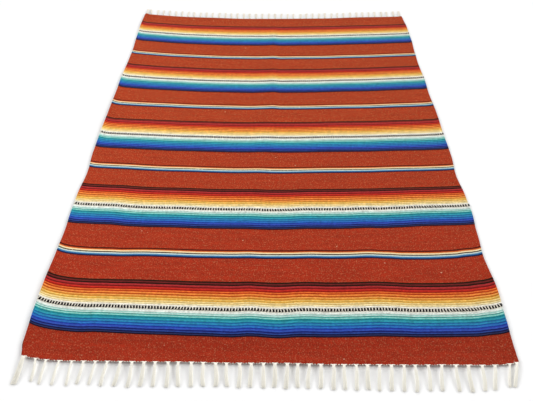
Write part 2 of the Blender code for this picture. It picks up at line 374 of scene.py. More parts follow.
def make_web_grid():
    """The web as one closed shell: close rows on top, and one in four of them underneath."""
    columns = web_columns()
    rows = pattern_rows()
    last = len(rows) - 1
    points = []
    places = []
    measures = {"rib_place": [], "narrow": [], "on_top": []}
    top_of = []
    under_of = {}
    for index, weft in enumerate(rows):
        row = weft_row(weft.y)
        end_inset = min(weft.y - FRONT_END_Y, BACK_END_Y - weft.y)
        top_of.append(len(points))
        for on_top in (True, False):
            if not on_top:
                if index % TOP_ROWS_TO_UNDER and index != last:
                    continue
                under_of[index] = len(points)
            for across in columns:
                point = on_cloth(row, across)
                inset = min((1 - abs(across)) * HALF_WIDTH, end_inset)
                round_off = max(0.0, 1 - inset / EDGE_REACH) ** 2 * THICKNESS * TOP_ROUNDING
                point.z += THICKNESS - round_off if on_top else round_off * UNDER_ROUNDING
                points.append(point)
                places.append((across * HALF_WIDTH, weft.pattern))
                for title, value in zip(measures, (weft.rib, weft.narrow, float(on_top))):
                    measures[title].append(value)
    wide = len(columns)
    faces = []
    for near in range(last):
        faces += faces_between(top_of[near], top_of[near + 1], wide)
    kept = sorted(under_of)
    for near, far in zip(kept, kept[1:]):
        low, high = under_of[near], under_of[far]
        faces += [(low + i, high + i, high + i + 1, low + i + 1) for i in range(wide - 1)]
        left = [top_of[k] for k in range(near, far + 1)]
        right = [top_of[k] + wide - 1 for k in range(far, near - 1, -1)]
        faces.append((low, *left, high))
        faces.append((high + wide - 1, *right, low + wide - 1))
    faces += faces_between(under_of[0], top_of[0], wide)
    faces += faces_between(top_of[last], under_of[last], wide)
    mesh = bpy.data.meshes.new("web_grid")
    mesh.from_pydata(points, [], faces)
    uv = mesh.uv_layers.new(name="cloth")
    for loop in mesh.loops:
        uv.data[loop.index].uv = places[loop.vertex_index]
    for title, values in measures.items():
        mesh.attributes.new(title, "FLOAT", "POINT").data.foreach_set("value", values)
    return add_object("web_grid", mesh)


def put(tree, kind, feeds=None, **settings):
    """A new node; each feed, by its input's name or number, is a socket or a plain value."""
    node = tree.nodes.new(kind)
    for name, value in settings.items():
        setattr(node, name, value)
    for key, feed in (feeds or {}).items():
        if isinstance(feed, bpy.types.NodeSocket):
            tree.links.new(feed, node.inputs[key])
        else:
            node.inputs[key].default_value = feed
    return node


def made(tree, kind, feeds=None, **settings):
    """The first output of a new node."""
    return put(tree, kind, feeds, **settings).outputs[0]


def calc(tree, operation, *feeds):
    return made(tree, "ShaderNodeMath", dict(enumerate(feeds)), operation=operation)


def times(tree, *feeds):
    """All the feeds multiplied together, from the first on."""
    product = feeds[0]
    for feed in feeds[1:]:
        product = calc(tree, "MULTIPLY", product, feed)
    return product


def vector_of(tree, x=0.0, y=0.0, z=0.0):
    return made(tree, "ShaderNodeCombineXYZ", {0: x, 1: y, 2: z})


def parts_of(tree, vector):
    return put(tree, "ShaderNodeSeparateXYZ", {0: vector}).outputs


def vector_times(tree, vector, factors):
    return made(tree, "ShaderNodeVectorMath", {0: vector, 1: factors}, operation="MULTIPLY")


def noise_at(tree, place, waves, detail):
    """Noise with so many waves to a metre in each direction of the place."""
    feeds = {"Vector": vector_times(tree, place, waves), "Scale": 1.0, "Detail": detail}
    return made(tree, "ShaderNodeTexNoise", feeds)


def fade(tree, value, low, high, to_low=0.0, to_high=1.0):
    """Eases from to_low to to_high as value goes from low to high."""
    feeds = {"Value": value, "From Min": low, "From Max": high, "To Min": to_low, "To Max": to_high}
    return made(tree, "ShaderNodeMapRange", feeds, interpolation_type="SMOOTHSTEP")


def swayed(tree, value, noise, weight):
    """The value pushed up and down by a noise that lies about its own middle."""
    return calc(tree, "MULTIPLY_ADD", calc(tree, "SUBTRACT", noise, 0.5), weight, value)


def scaled(tree, vector, factor):
    return made(tree, "ShaderNodeVectorMath", {0: vector, "Scale": factor}, operation="SCALE")


def mix_colours(tree, share, first, second):
    """The first colour where share is 0 and the second where it is 1."""
    return put(tree, "ShaderNodeMix", {0: share, 6: first, 7: second}, data_type="RGBA").outputs[2]


def bump_by(tree, shader, relief, strength, distance):
    feeds = {"Strength": strength, "Distance": distance, "Height": relief}
    tree.links.new(made(tree, "ShaderNodeBump", feeds), shader.inputs["Normal"])


def named(tree, title):
    """The measure that a source's points carry under this title."""
    return made(tree, "GeometryNodeInputNamedAttribute", {"Name": title}, data_type="FLOAT")


def start_tree(name, sizes):
    """A Geometry Nodes tree with a named input for each size, and the sockets that give them."""
    tree = bpy.data.node_groups.new(name, "GeometryNodeTree")
    tree.interface.new_socket("Geometry", in_out="INPUT", socket_type="NodeSocketGeometry")
    for title, value in sizes.items():
        kind = "NodeSocketInt" if isinstance(value, int) else "NodeSocketFloat"
        tree.interface.new_socket(title, in_out="INPUT", socket_type=kind)
    tree.interface.new_socket("Geometry", in_out="OUTPUT", socket_type="NodeSocketGeometry")
    return tree, tree.nodes.new("NodeGroupInput").outputs


def end_tree(tree, geometry, material):
    """Ends the tree: smooth faces, instances made real, and the piece's material."""
    smooth = made(tree, "GeometryNodeSetShadeSmooth", {"Geometry": geometry})
    real = made(tree, "GeometryNodeRealizeInstances", {"Geometry": smooth})
    if material:
        real = made(tree, "GeometryNodeSetMaterial", {"Geometry": real, "Material": material})
    put(tree, "NodeGroupOutput", {"Geometry": real})


def run_tree(source, tree, sizes, name):
    """Puts the source through the tree with its sizes, and keeps the result as a plain mesh object."""
    modifier = source.modifiers.new("build", "NODES")
    modifier.node_group = tree
    for item in tree.interface.items_tree:
        if item.in_out == "INPUT" and item.name in sizes:
            modifier[item.identifier] = sizes[item.name]
    graph = bpy.context.evaluated_depsgraph_get()
    mesh = bpy.data.meshes.new_from_object(source.evaluated_get(graph), depsgraph=graph)
    source.modifiers.remove(modifier)
    bpy.data.objects.remove(source)
    mesh.name = name
    return add_object(name, mesh)


def start_material(name, roughness, sheen):
    """A new material with its shader's even values set, its node tree, and its shader."""
    material = bpy.data.materials.new(name)
    material.use_nodes = True
    shader = material.node_tree.nodes["Principled BSDF"]
    shader.inputs["Roughness"].default_value = roughness
    shader.inputs["Specular IOR Level"].default_value = 0.04
    shader.inputs["Sheen Weight"].default_value = sheen
    shader.inputs["Sheen Roughness"].default_value = 0.6
    return material, material.node_tree, shader


def dyed(red, green, blue):
    """A yarn colour as a dyer's chart gives it, from 0 to 255, in the linear light that a shader takes."""
    light = []
    for value in (red, green, blue):
        value /= 255
        light.append(value / 12.92 if value <= 0.04045 else ((value + 0.055) / 1.055) ** 2.4)
    return (*light, 1.0)


def colour_ramp(tree, place, starts, colours, end, interpolation):
    """The colours that begin at starts in metres, in steps or each fading into the next, read at place."""
    feeds = {"Value": place, "From Min": starts[0], "From Max": end}
    ramp = put(tree, "ShaderNodeValToRGB", {"Fac": made(tree, "ShaderNodeMapRange", feeds)})
    ramp.color_ramp.interpolation = interpolation
    stops = ramp.color_ramp.elements
    stops.remove(stops[1])
    for start in starts[1:]:
        stops.new((start - starts[0]) / (end - starts[0]))
    for stop, colour in zip(stops, colours):
        stop.color = colour
    return ramp.outputs["Color"]


def yarn_ramp(tree, place, yarns, wide):
    """A chart of yarns side by side, each from its start to the next one's."""
    starts = [yarn.start / 1000 for yarn in yarns]
    return colour_ramp(tree, place, starts, [dyed(*yarn.colour) for yarn in yarns], wide, "CONSTANT")


# The yarns of a rainbow band from its near edge on, each with where it starts in millimetres. Thick light
# yarns make the crests of the ribs, and thin dark ones lie in the grooves; besides their dye, the crest yarns
# are painted lighter and the groove yarns darker, as painted light on the crests and painted shade in the
# grooves.
COOL_HALF = table_of(
    "start name colour",
    (0.0, "blue black", (8, 12, 34)),
    (3.5, "slate blue", (34, 46, 92)),
    (6.5, "dark navy", (8, 16, 62)),
    (11.0, "blue", (37, 68, 144)),
    (15.0, "navy", (12, 24, 100)),
    (19.5, "royal", (46, 80, 175)),
    (25.0, "deep royal", (26, 56, 158)),
    (30.0, "azure", (39, 113, 189)),
    (35.5, "strong blue", (20, 80, 160)),
    (39.5, "sky", (38, 133, 179)),
    (45.5, "peacock", (20, 98, 154)),
    (49.5, "turquoise", (44, 152, 174)),
    (55.5, "teal", (20, 130, 146)),
    (61.0, "sea green", (60, 164, 160)),
    (63.5, "light aqua", (146, 210, 202)),
    (67.0, "green teal", (76, 164, 154)),
    (71.0, "pale aqua", (190, 222, 216)),
    (74.5, "aqua grey", (152, 200, 190)),
    (78.5, "white aqua", (228, 236, 228)),
    (85.5, "speckled cream", (196, 194, 180)),
    (87.5, "ivory", (246, 242, 228)),
)
WARM_HALF = table_of(
    "start name colour",
    (95.5, "ivory", (246, 242, 228)),
    (107.0, "light tan", (226, 200, 146)),
    (109.0, "cream", (248, 234, 182)),
    (113.5, "tan", (220, 178, 98)),
    (116.5, "pale yellow", (242, 214, 144)),
    (121.5, "old gold", (222, 166, 68)),
    (126.5, "yellow gold", (240, 194, 102)),
    (131.0, "dark amber", (210, 130, 40)),
    (136.5, "amber", (240, 162, 80)),
    (141.5, "burnt orange", (188, 78, 20)),
    (146.5, "light orange", (238, 138, 62)),
    (152.0, "orange red", (188, 60, 18)),
    (156.5, "orange", (232, 112, 48)),
    (161.0, "dark red", (160, 28, 18)),
    (166.0, "bright red", (200, 42, 34)),
    (171.5, "maroon", (120, 20, 24)),
    (177.0, "wine red", (172, 44, 48)),
    (183.5, "black", (30, 10, 12)),
    (189.0, "wine brown", (108, 34, 34)),
    (194.0, "black", (24, 8, 8)),
)

# The yarns of a narrow band in the same way.
NARROW = table_of(
    "start name colour",
    (0.0, "navy", (14, 20, 50)),
    (4.8, "blue", (26, 84, 148)),
    (9.2, "sky", (98, 160, 190)),
    (12.6, "pale aqua", (214, 226, 218)),
    (16.8, "dark dashes", (24, 18, 18)),
    (21.2, "cream", (246, 224, 176)),
    (26.8, "orange", (222, 120, 52)),
    (30.8, "red", (146, 30, 22)),
    (34.2, "black brown", (34, 10, 10)),
)

cloth_yarn, tree, shader = start_material("serape_weave", 0.95, 0.08)
shader.inputs["Sheen Tint"].default_value = (1.0, 0.62, 0.30, 1.0)
place = made(tree, "ShaderNodeUVMap", uv_map="cloth")
across, pattern_place, _ = parts_of(tree, place)

# Spinning and weaving are uneven: each noise has so many waves to a metre across and along the cloth.
CLOTH_NOISES = table_of(
    "name across along detail",
    ("stray", 150.0, 620.0, 2.0),
    ("dash", 105.0, 9.0, 1.0),
    ("tweed", 300.0, 430.0, 3.0),
    ("streak", 9.0, 170.0, 2.0),
    ("batch", 6.0, 62.0, 1.0),
    ("slub", 70.0, 95.0, 2.0),
    ("spun", 95.0, 42.0, 1.0),
    ("fleck", 240.0, 215.0, 4.0),
    ("nep", 85.0, 110.0, 0.0),
    ("heather", 110.0, 420.0, 3.0),
    ("patch", 30.0, 260.0, 2.0),
)
noises = {}
for item in CLOTH_NOISES:
    noises[item.name] = noise_at(tree, place, (item.across, item.along, 1.0), item.detail)

# The rainbow: a cool and a warm half. The three back bands were woven with a finer black line, where wine
# red takes the first black yarn's place.
WEFT_STRAY = 0.0015
FIRST_BLACK_MIDDLE = 0.18625
FIRST_BLACK_HALF = 0.00275
FINER_FROM = 1.5 * REPEAT
FINER_RED = dyed(150, 38, 36)
along = swayed(tree, pattern_place, noises["stray"], WEFT_STRAY)
repeat_place = calc(tree, "FLOORED_MODULO", along, REPEAT)
cool = yarn_ramp(tree, repeat_place, COOL_HALF, TICK_MIDDLE)
warm = yarn_ramp(tree, repeat_place, WARM_HALF, BAND_WIDTH)
first_black = calc(tree, "COMPARE", repeat_place, FIRST_BLACK_MIDDLE, FIRST_BLACK_HALF)
finer = times(tree, first_black, calc(tree, "GREATER_THAN", pattern_place, FINER_FROM))
warm = mix_colours(tree, finer, warm, FINER_RED)
rainbow = mix_colours(tree, calc(tree, "GREATER_THAN", repeat_place, TICK_MIDDLE), cool, warm)

# The row of black and ivory ticks: two yarns woven in turn, which lean one way and then the other.
TICKS = 154
TICK_PITCH = 2 * HALF_WIDTH / TICKS
TICK_HALF_LENGTH = 0.0059
TICK_SLANT = 0.9
LEAN_WAVES = (17.0, 6.1)
LEAN_START = 1.1
TICK_BLACK = dyed(22, 18, 20)


def tick_lean(tree, x):
    """How far the ticks lean at x, from -1 to 1, as two waves that drift apart."""
    first = calc(tree, "SINE", times(tree, x, LEAN_WAVES[0]))
    second = calc(tree, "SINE", calc(tree, "MULTIPLY_ADD", x, LEAN_WAVES[1], LEAN_START))
    return times(tree, first, second)


from_middle = calc(tree, "SUBTRACT", repeat_place, TICK_MIDDLE)
slant = times(tree, tick_lean(tree, across), from_middle)
tick_place = calc(tree, "MULTIPLY_ADD", slant, TICK_SLANT, across)
tick_place = calc(tree, "FRACT", calc(tree, "DIVIDE", tick_place, TICK_PITCH))
from_ivory = calc(tree, "ABSOLUTE", calc(tree, "SUBTRACT", tick_place, 0.5))
black_tick = fade(tree, from_ivory, low=0.12, high=0.19)
tick_rib = calc(tree, "COMPARE", repeat_place, TICK_MIDDLE, TICK_HALF_LENGTH)
tick_dark = times(tree, tick_rib, black_tick)
rainbow = mix_colours(tree, tick_dark, rainbow, TICK_BLACK)

# The narrow band: its dark yarn was thrown over and under in turn, so it shows as uneven dashes.
DASH_MIDDLE = 0.0190
DASH_HALF = 0.0022
DASH_GAP = dyed(206, 194, 164)
narrow_place = calc(tree, "SUBTRACT", repeat_place, NARROW_MIDDLE - NARROW_WIDTH / 2)
narrow = yarn_ramp(tree, narrow_place, NARROW, NARROW_WIDTH)
in_dashes = calc(tree, "COMPARE", narrow_place, DASH_MIDDLE, DASH_HALF)
dash_gap = times(tree, in_dashes, fade(tree, noises["dash"], low=0.64, high=0.76))
narrow = mix_colours(tree, dash_gap, narrow, DASH_GAP)

# The rust ground: one heathered yarn, tweedy where the cream warp shows between its threads.
DEEP_RUST = dyed(138, 34, 20)
BRIGHT_RUST = dyed(180, 51, 28)
WARP_FLECK = dyed(226, 162, 116)
NEP = dyed(232, 206, 176)
SLUB_IN_FLECK = -0.30
mixed = noises["tweed"]
for name, weight in (("streak", 0.20), ("batch", 0.22), ("slub", 0.16), ("spun", 0.12)):
    mixed = swayed(tree, mixed, noises[name], weight)
ground = mix_colours(tree, fade(tree, mixed, low=0.30, high=0.70), DEEP_RUST, BRIGHT_RUST)
fleck = swayed(tree, noises["fleck"], noises["slub"], SLUB_IN_FLECK)
ground = mix_colours(tree, fade(tree, fleck, low=0.48, high=0.80, to_high=0.40), ground, WARP_FLECK)
ground = mix_colours(tree, fade(tree, noises["nep"], low=0.855, high=0.90, to_high=0.6), ground, NEP)

# Painted light on the rust ground: darker at the front end, brighter and more orange towards the back.
PAINTED_LIGHT_ALONG = table_of(
    "place red green blue",
    (-0.02, 0.650, 0.600, 0.580),
    (0.25, 0.780, 0.725, 0.680),
    (0.60, 0.810, 0.850, 0.730),
    (1.10, 0.850, 1.000, 0.730),
    (1.90, 0.840, 0.970, 0.640),
)
PAINTED_LIGHT_STRENGTH = 1.333
painted_light_starts = [light_step.place for light_step in PAINTED_LIGHT_ALONG]
painted_light_colours = [(light_step.red, light_step.green, light_step.blue, 1.0) for light_step in PAINTED_LIGHT_ALONG]
painted_light_tint = colour_ramp(tree, pattern_place, painted_light_starts, painted_light_colours, painted_light_starts[-1], "LINEAR")
# The ground colour is multiplied by this painted light.
ground = scaled(tree, vector_times(tree, ground, painted_light_tint), PAINTED_LIGHT_STRENGTH)

in_rainbow = calc(tree, "LESS_THAN", repeat_place, BAND_WIDTH)
in_narrow = calc(tree, "COMPARE", narrow_place, NARROW_WIDTH / 2, NARROW_WIDTH / 2)
colour = mix_colours(tree, in_rainbow, ground, rainbow)
colour = mix_colours(tree, in_narrow, colour, narrow)

# Each yarn is spun unevenly, so a thread is a little darker here and lighter there along its way: between
# two shares of its colour, which differ for ground and rainbow. Painted shade makes the right side a little
# darker, and painted light makes the rainbow brighter towards the back.
GROUND_SHADES = (0.86, 1.02)
RAINBOW_SHADES = (0.66, 1.15)
PAINTED_SIDE_SHADE = -0.08
PATCH_IN_HEATHER = 0.7
SPUN_IN_HEATHER = 0.35
heather = swayed(tree, noises["heather"], noises["patch"], PATCH_IN_HEATHER)
heather = swayed(tree, heather, noises["spun"], SPUN_IN_HEATHER)
# Painted shade: darker towards the right side.
painted_side_shade = times(tree, across, PAINTED_SIDE_SHADE)
limits = []
for on_ground, on_rainbow in zip(GROUND_SHADES, RAINBOW_SHADES):
    limit = calc(tree, "MULTIPLY_ADD", in_rainbow, on_rainbow - on_ground, on_ground)
    limits.append(calc(tree, "ADD", limit, painted_side_shade))
shade = fade(tree, heather, 0.20, 0.80, *limits)
# Painted light: the rainbow is painted up to 12% brighter from the front end towards the back.
feeds = {"Value": pattern_place, "From Min": 0.1, "From Max": 0.9, "To Max": 0.12}
painted_back_light = times(tree, made(tree, "ShaderNodeMapRange", feeds), in_rainbow)
shade = calc(tree, "MULTIPLY_ADD", shade, painted_back_light, shade)
tree.links.new(scaled(tree, colour, shade), shader.inputs["Base Color"])

# Plain weave with a thick weft: beads of weft over each warp thread, set off by half from row to row.
PICK = 0.0021
WARP_PITCH = 0.0033
TWEED_IN_RELIEF = 0.7
picks = calc(tree, "DIVIDE", along, PICK)
offset = times(tree, calc(tree, "FLOORED_MODULO", calc(tree, "FLOOR", picks), 2.0), 0.5)
beads = calc(tree, "ADD", calc(tree, "DIVIDE", across, WARP_PITCH), offset)
bead = calc(tree, "ABSOLUTE", calc(tree, "SINE", times(tree, beads, math.pi)))
thread = calc(tree, "ABSOLUTE", calc(tree, "SINE", times(tree, picks, math.pi)))
weave = times(tree, calc(tree, "POWER", bead, 0.5), calc(tree, "POWER", thread, 0.5))
relief = calc(tree, "MULTIPLY_ADD", noises["tweed"], TWEED_IN_RELIEF, weave)
bump_by(tree, shader, relief, strength=0.55, distance=0.0007)

# The ribs: thick weft packs into round ribs across the bands, each a little uneven along its length.
ROUNDNESS = 0.7
RIB_NOISE_WAVES = (11.0, 95.0, 0.0)
rib_sizes = {"Rib height": RIB_HEIGHT, "Narrow height": NARROW_HEIGHT, "Unevenness": 0.5, "Seed": 7.0}
tree, given = start_tree("raise_ribs", rib_sizes)
rib_place, narrow_share, on_top = (named(tree, title) for title in ("rib_place", "narrow", "on_top"))
round_top = calc(tree, "SINE", times(tree, calc(tree, "FRACT", rib_place), math.pi))
round_top = calc(tree, "POWER", calc(tree, "MAXIMUM", round_top, 0.0), ROUNDNESS)
feeds = {"Value": narrow_share, "To Min": given["Rib height"], "To Max": given["Narrow height"]}
height = made(tree, "ShaderNodeMapRange", feeds)
spot = vector_times(tree, made(tree, "GeometryNodeInputPosition"), RIB_NOISE_WAVES)
noise_feeds = {0: spot, "W": given["Seed"], "Scale": 1.0, "Detail": 1.0}
noise = made(tree, "ShaderNodeTexNoise", noise_feeds, noise_dimensions="4D")
sway = swayed(tree, 0.0, noise, given["Unevenness"])
lift = times(tree, round_top, height, calc(tree, "MULTIPLY_ADD", sway, 2.0, 1.0), on_top)
raise_by = vector_of(tree, z=lift)
raised = made(tree, "GeometryNodeSetPosition", {"Geometry": given["Geometry"], "Offset": raise_by})
end_tree(tree, raised, cloth_yarn)
web = run_tree(make_web_grid(), tree, rib_sizes, "serape_web")
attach(web, "root")
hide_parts("woven_cloth")

# The tick row's floats: thick black and ivory yarns in turn, which stand proud as small slanted beads.
TICK_FIBRE_WAVES = (900.0, 900.0, 900.0)


def tick_yarn(name, dark, light):
    """A thick plain yarn, mottled between its dark and its light colour."""
    yarn, tree, shader = start_material(name, 0.9, 0.1)
    object_place = put(tree, "ShaderNodeTexCoord").outputs["Object"]
    fibre = noise_at(tree, object_place, TICK_FIBRE_WAVES, 2.0)
    tree.links.new(mix_colours(tree, fibre, dark, light), shader.inputs["Base Color"])
    return yarn


def stray_by(tree, reach, feeds):
    """A random number up to reach either way; the feeds are its seed and, if it has one, its ID."""
    feeds = {2: times(tree, reach, -1.0), 3: reach, **feeds}
    return put(tree, "FunctionNodeRandomValue", feeds).outputs[1]


def along_line(tree, source, count):
    """So many points spaced evenly along the source's line, and the turn that faces along it."""
    line = made(tree, "GeometryNodeMeshToCurve", {"Mesh": source})
    line = made(tree, "GeometryNodeResampleCurve", {"Curve": line, "Count": count})
    tangent = made(tree, "GeometryNodeInputTangent")
    return line, made(tree, "FunctionNodeAlignRotationToVector", {"Vector": tangent}, axis="X")


tick_black = tick_yarn("tick_black_yarn", dyed(4, 3, 5), dyed(30, 24, 26))
tick_ivory = tick_yarn("tick_ivory_yarn", dyed(214, 206, 186), dyed(250, 246, 232))
tick_sizes = {
    "Ticks": TICKS,
    "Black float width": 0.0087,
    "Ivory float width": 0.0044,
    "Float length": 0.0120,
    "Float height": 0.0030,
    "Lean": 0.42,
    "Lean stray": 0.22,
    "Side stray": 0.0009,
}
tree, given = start_tree("weave_ticks", tick_sizes)
line, facing = along_line(tree, given["Geometry"], times(tree, given["Ticks"], 2.0))
spot = made(tree, "GeometryNodeInputPosition")
spot_x = calc(tree, "SUBTRACT", parts_of(tree, spot)["X"], TO_FRAME_X)
chance = stray_by(tree, given["Lean stray"], {"Seed": 2})
lean = calc(tree, "MULTIPLY_ADD", tick_lean(tree, spot_x), given["Lean"], chance)
slant = made(tree, "FunctionNodeAxisAngleToRotation", {"Axis": (0.0, 0.0, 1.0), "Angle": lean})
facing = made(tree, "FunctionNodeRotateRotation", {0: facing, 1: slant}, rotation_space="LOCAL")
aside = vector_of(tree, stray_by(tree, given["Side stray"], {"Seed": 4}))
line = made(tree, "GeometryNodeSetPosition", {"Geometry": line, "Offset": aside})

# A float is a small ball with blunted ends, drawn out to the float's sizes.
bead = made(tree, "GeometryNodeMeshUVSphere", {"Segments": 6, "Rings": 4, "Radius": 0.5})
corner = parts_of(tree, made(tree, "GeometryNodeInputPosition"))
blunt = calc(tree, "POWER", calc(tree, "ABSOLUTE", times(tree, corner["Y"], 2.0)), 0.5)
blunt = times(tree, calc(tree, "SIGN", corner["Y"]), blunt, 0.5)
blunt = vector_of(tree, corner["X"], blunt, corner["Z"])
bead = made(tree, "GeometryNodeSetPosition", {"Geometry": bead, "Position": blunt})
odd = calc(tree, "FLOORED_MODULO", put(tree, "GeometryNodeSplineParameter").outputs["Index"], 2.0)
even = calc(tree, "SUBTRACT", 1.0, odd)
joined = put(tree, "GeometryNodeJoinGeometry")
for chosen, width, yarn in ((even, "Ivory float width", tick_ivory), (odd, "Black float width", tick_black)):
    sizes = vector_of(tree, given[width], given["Float length"], given["Float height"])
    feeds = {"Points": line, "Selection": chosen, "Instance": bead, "Rotation": facing, "Scale": sizes}
    floats = made(tree, "GeometryNodeInstanceOnPoints", feeds)
    floats = made(tree, "GeometryNodeRealizeInstances", {"Geometry": floats})
    floats = made(tree, "GeometryNodeSetMaterial", {"Geometry": floats, "Material": yarn})
    tree.links.new(floats, joined.inputs[0])
end_tree(tree, joined.outputs[0], None)


def lines_object(name, lines, measures=None):
    """Lines of points as loose edges, with named measures at the points, for a tree that follows them."""
    points = [point for line in lines for point in line]
    edges = []
    start = 0
    for line in lines:
        edges += [(start + i, start + i + 1) for i in range(len(line) - 1)]
        start += len(line)
    mesh = bpy.data.meshes.new(name)
    mesh.from_pydata(points, edges, [])
    for title, values in (measures or {}).items():
        mesh.attributes.new(title, "FLOAT", "POINT").data.foreach_set("value", values)
    return add_object(name + "_lines", mesh)


def cloth_line(y, reach, steps, offset):
    """Points along the weft row y, as far as reach to both sides, with their offset from its underside."""
    row = weft_row(y)
    return [on_cloth(row, -reach + 2 * reach * i / steps) + Vector(offset) for i in range(steps + 1)]


TICK_LINE_STEPS = 120
FLOAT_REST = 0.0007
tick_reach = 1 - TICK_PITCH / 4 / HALF_WIDTH
tick_lines = []
for band in BANDS:
    middle_y = band.near_edge + TICK_MIDDLE * band.width / BAND_WIDTH
    tick_lines.append(cloth_line(middle_y, tick_reach, TICK_LINE_STEPS, (0, 0, THICKNESS + FLOAT_REST)))
ticks = run_tree(lines_object("tick_lines", tick_lines), tree, tick_sizes, "tick_floats")
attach(ticks, "root")

# The fringe: the undyed cotton warp that stands out past the last weft row, gathered by hand into a lock
# every 37 mm. A lock is a bundle of softly twisted yarns cut off bluntly, wider at its tip.
PLY_LENGTH = 0.006
FIBRE_WAVES = (1400.0, 300.0, 1400.0)
YARN_LIGHT = dyed(248, 245, 236)
YARN_SHADED = dyed(238, 234, 220)
YARN_PAINTED_SHADE = dyed(226, 214, 198)
cream, tree, shader = start_material("cream_cotton_yarn", 0.85, 0.3)
yarn_length = put(tree, "ShaderNodeAttribute", attribute_name="along_yarn").outputs["Fac"]
ring = parts_of(tree, put(tree, "ShaderNodeAttribute", attribute_name="around_yarn").outputs["Vector"])
turned = times(tree, yarn_length, 2 * math.pi / PLY_LENGTH)
double_cosine = calc(tree, "SUBTRACT", times(tree, ring[0], ring[0]), times(tree, ring[1], ring[1]))
double_sine = times(tree, ring[0], ring[1], 2.0)
ply = times(tree, calc(tree, "SINE", turned), double_cosine)
ply = calc(tree, "MULTIPLY_ADD", calc(tree, "COSINE", turned), double_sine, ply)
object_place = put(tree, "ShaderNodeTexCoord").outputs["Object"]
fibre = noise_at(tree, object_place, FIBRE_WAVES, 3.0)
tint = mix_colours(tree, fade(tree, fibre, low=0.25, high=0.75), YARN_SHADED, YARN_LIGHT)
# Painted shade: the locks towards the back end are painted up to 55% of the way to a darker, greyer cream.
end_side = parts_of(tree, object_place)["Y"]
tint = mix_colours(tree, fade(tree, end_side, low=-0.5, high=0.5, to_high=0.55), tint, YARN_PAINTED_SHADE)
tree.links.new(tint, shader.inputs["Base Color"])
bump_by(tree, shader, calc(tree, "MULTIPLY_ADD", fibre, 0.6, ply), strength=0.3, distance=0.0004)

LOCK_COUNT = 42
LEAST_WIDTH = 0.86
MOST_WIDTH = 1.14
ROOT_STRAY = 0.002
TIP_STRAY = 0.003
BEND_SEED = 100
BEND = 0.0028
DOUBLE_BEND = 0.0010
ROOT_INSET = 0.0015
DROP_POWER = 1.4
FRONT_LOCKS = table_of(
    "number root lean length width",
    (0, -0.752, -0.006, 0.084, 0.0165),
    (1, -0.714, 0.006, 0.069, 0.0085),
    (2, -0.679, -0.002, 0.072, 0.0085),
    (3, -0.637, -0.002, 0.072, 0.0088),
    (5, -0.565, -0.003, 0.072, 0.0090),
    (7, -0.489, -0.006, 0.072, 0.0100),
    (8, -0.451, -0.008, 0.072, 0.0110),
    (10, -0.380, -0.001, 0.074, 0.0115),
    (15, -0.201, 0.010, 0.073, 0.0120),
    (20, -0.015, -0.001, 0.072, 0.0120),
    (25, 0.159, -0.004, 0.072, 0.0120),
    (30, 0.336, -0.007, 0.075, 0.0115),
    (34, 0.480, -0.008, 0.078, 0.0110),
    (35, 0.525, -0.012, 0.079, 0.0110),
    (36, 0.567, -0.006, 0.080, 0.0110),
    (37, 0.604, -0.008, 0.079, 0.0110),
    (38, 0.644, -0.008, 0.079, 0.0105),
    (39, 0.686, -0.020, 0.071, 0.0100),
    (40, 0.730, -0.020, 0.070, 0.0095),
    (41, 0.753, -0.026, 0.071, 0.0095),
)
BACK_LOCKS = table_of(
    "number root lean length width",
    (0, -0.753, -0.008, 0.066, 0.0105),
    (1, -0.731, -0.008, 0.067, 0.0105),
    (2, -0.691, -0.006, 0.066, 0.0105),
    (12, -0.321, -0.003, 0.069, 0.0110),
    (24, 0.123, 0.003, 0.066, 0.0110),
    (34, 0.493, 0.005, 0.067, 0.0105),
    (41, 0.752, 0.006, 0.069, 0.0105),
)
LOCK_SECTIONS = table_of(
    "along width middle",
    (0.00, 0.80, 0.0013),
    (0.10, 0.80, 0.0028),
    (0.30, 0.90, 0.0038),
    (0.65, 1.02, 0.0040),
    (0.90, 1.10, 0.0030),
    (1.00, 1.14, 0.0021),
)
ROOT_STEPS = (0.0, 0.012, 0.026, 0.042, 0.06, 0.08, 0.105, 0.14)
LOCK_STEPS = (*ROOT_STEPS, 0.19, 0.26, 0.35, 0.45, 0.56, 0.67, 0.78, 0.89, 1.0)


def lock_sets(sets, seed):
    """Each lock's root across the end, its width, lean and length, a little unlike its neighbours'."""
    dice = random.Random(seed)
    locks = []
    for i in range(LOCK_COUNT):
        columns = ("root", "width", "lean", "length")
        x, width, lean, length = (read_table(sets, column, i, eased=False) for column in columns)
        if 1 < i < LOCK_COUNT - 2:
            x += dice.uniform(-ROOT_STRAY, ROOT_STRAY)
        width *= dice.uniform(LEAST_WIDTH, MOST_WIDTH)
        lean += dice.uniform(-TIP_STRAY, TIP_STRAY)
        length += dice.uniform(-TIP_STRAY, TIP_STRAY)
        locks.append((x, width, lean, length))
    return locks


def lock_lines(sets, seed, end_y, outward):
    """The middle line of each lock from just inside the web's edge to its tip, with half its width there."""
    row = weft_row(end_y)
    dice = random.Random(seed + BEND_SEED)
    lines = []
    widths = []
    alongs = []
    for x, width, lean, length in lock_sets(sets, seed):
        reach = row[1][0 if x < 0 else 1]
        root = on_cloth(row, max(-1.0, min(1.0, x / reach)))
        bend = dice.uniform(-BEND, BEND)
        double_bend = dice.uniform(-DOUBLE_BEND, DOUBLE_BEND)
        line = []
        for along in LOCK_STEPS:
            aside = lean * along + bend * math.sin(math.pi * along)
            aside += double_bend * math.sin(2 * math.pi * along)
            forward = -ROOT_INSET + (length + ROOT_INSET) * along
            height = read_table(LOCK_SECTIONS, "middle", along)
            height += root.z * (1 - along) ** DROP_POWER
            line.append(Vector((root.x + aside, root.y + outward * forward, height)))
            widths.append(width / 2 * read_table(LOCK_SECTIONS, "width", along))
            alongs.append(along)
        lines.append(line)
    return lines, {"half_width": widths, "along_lock": alongs}


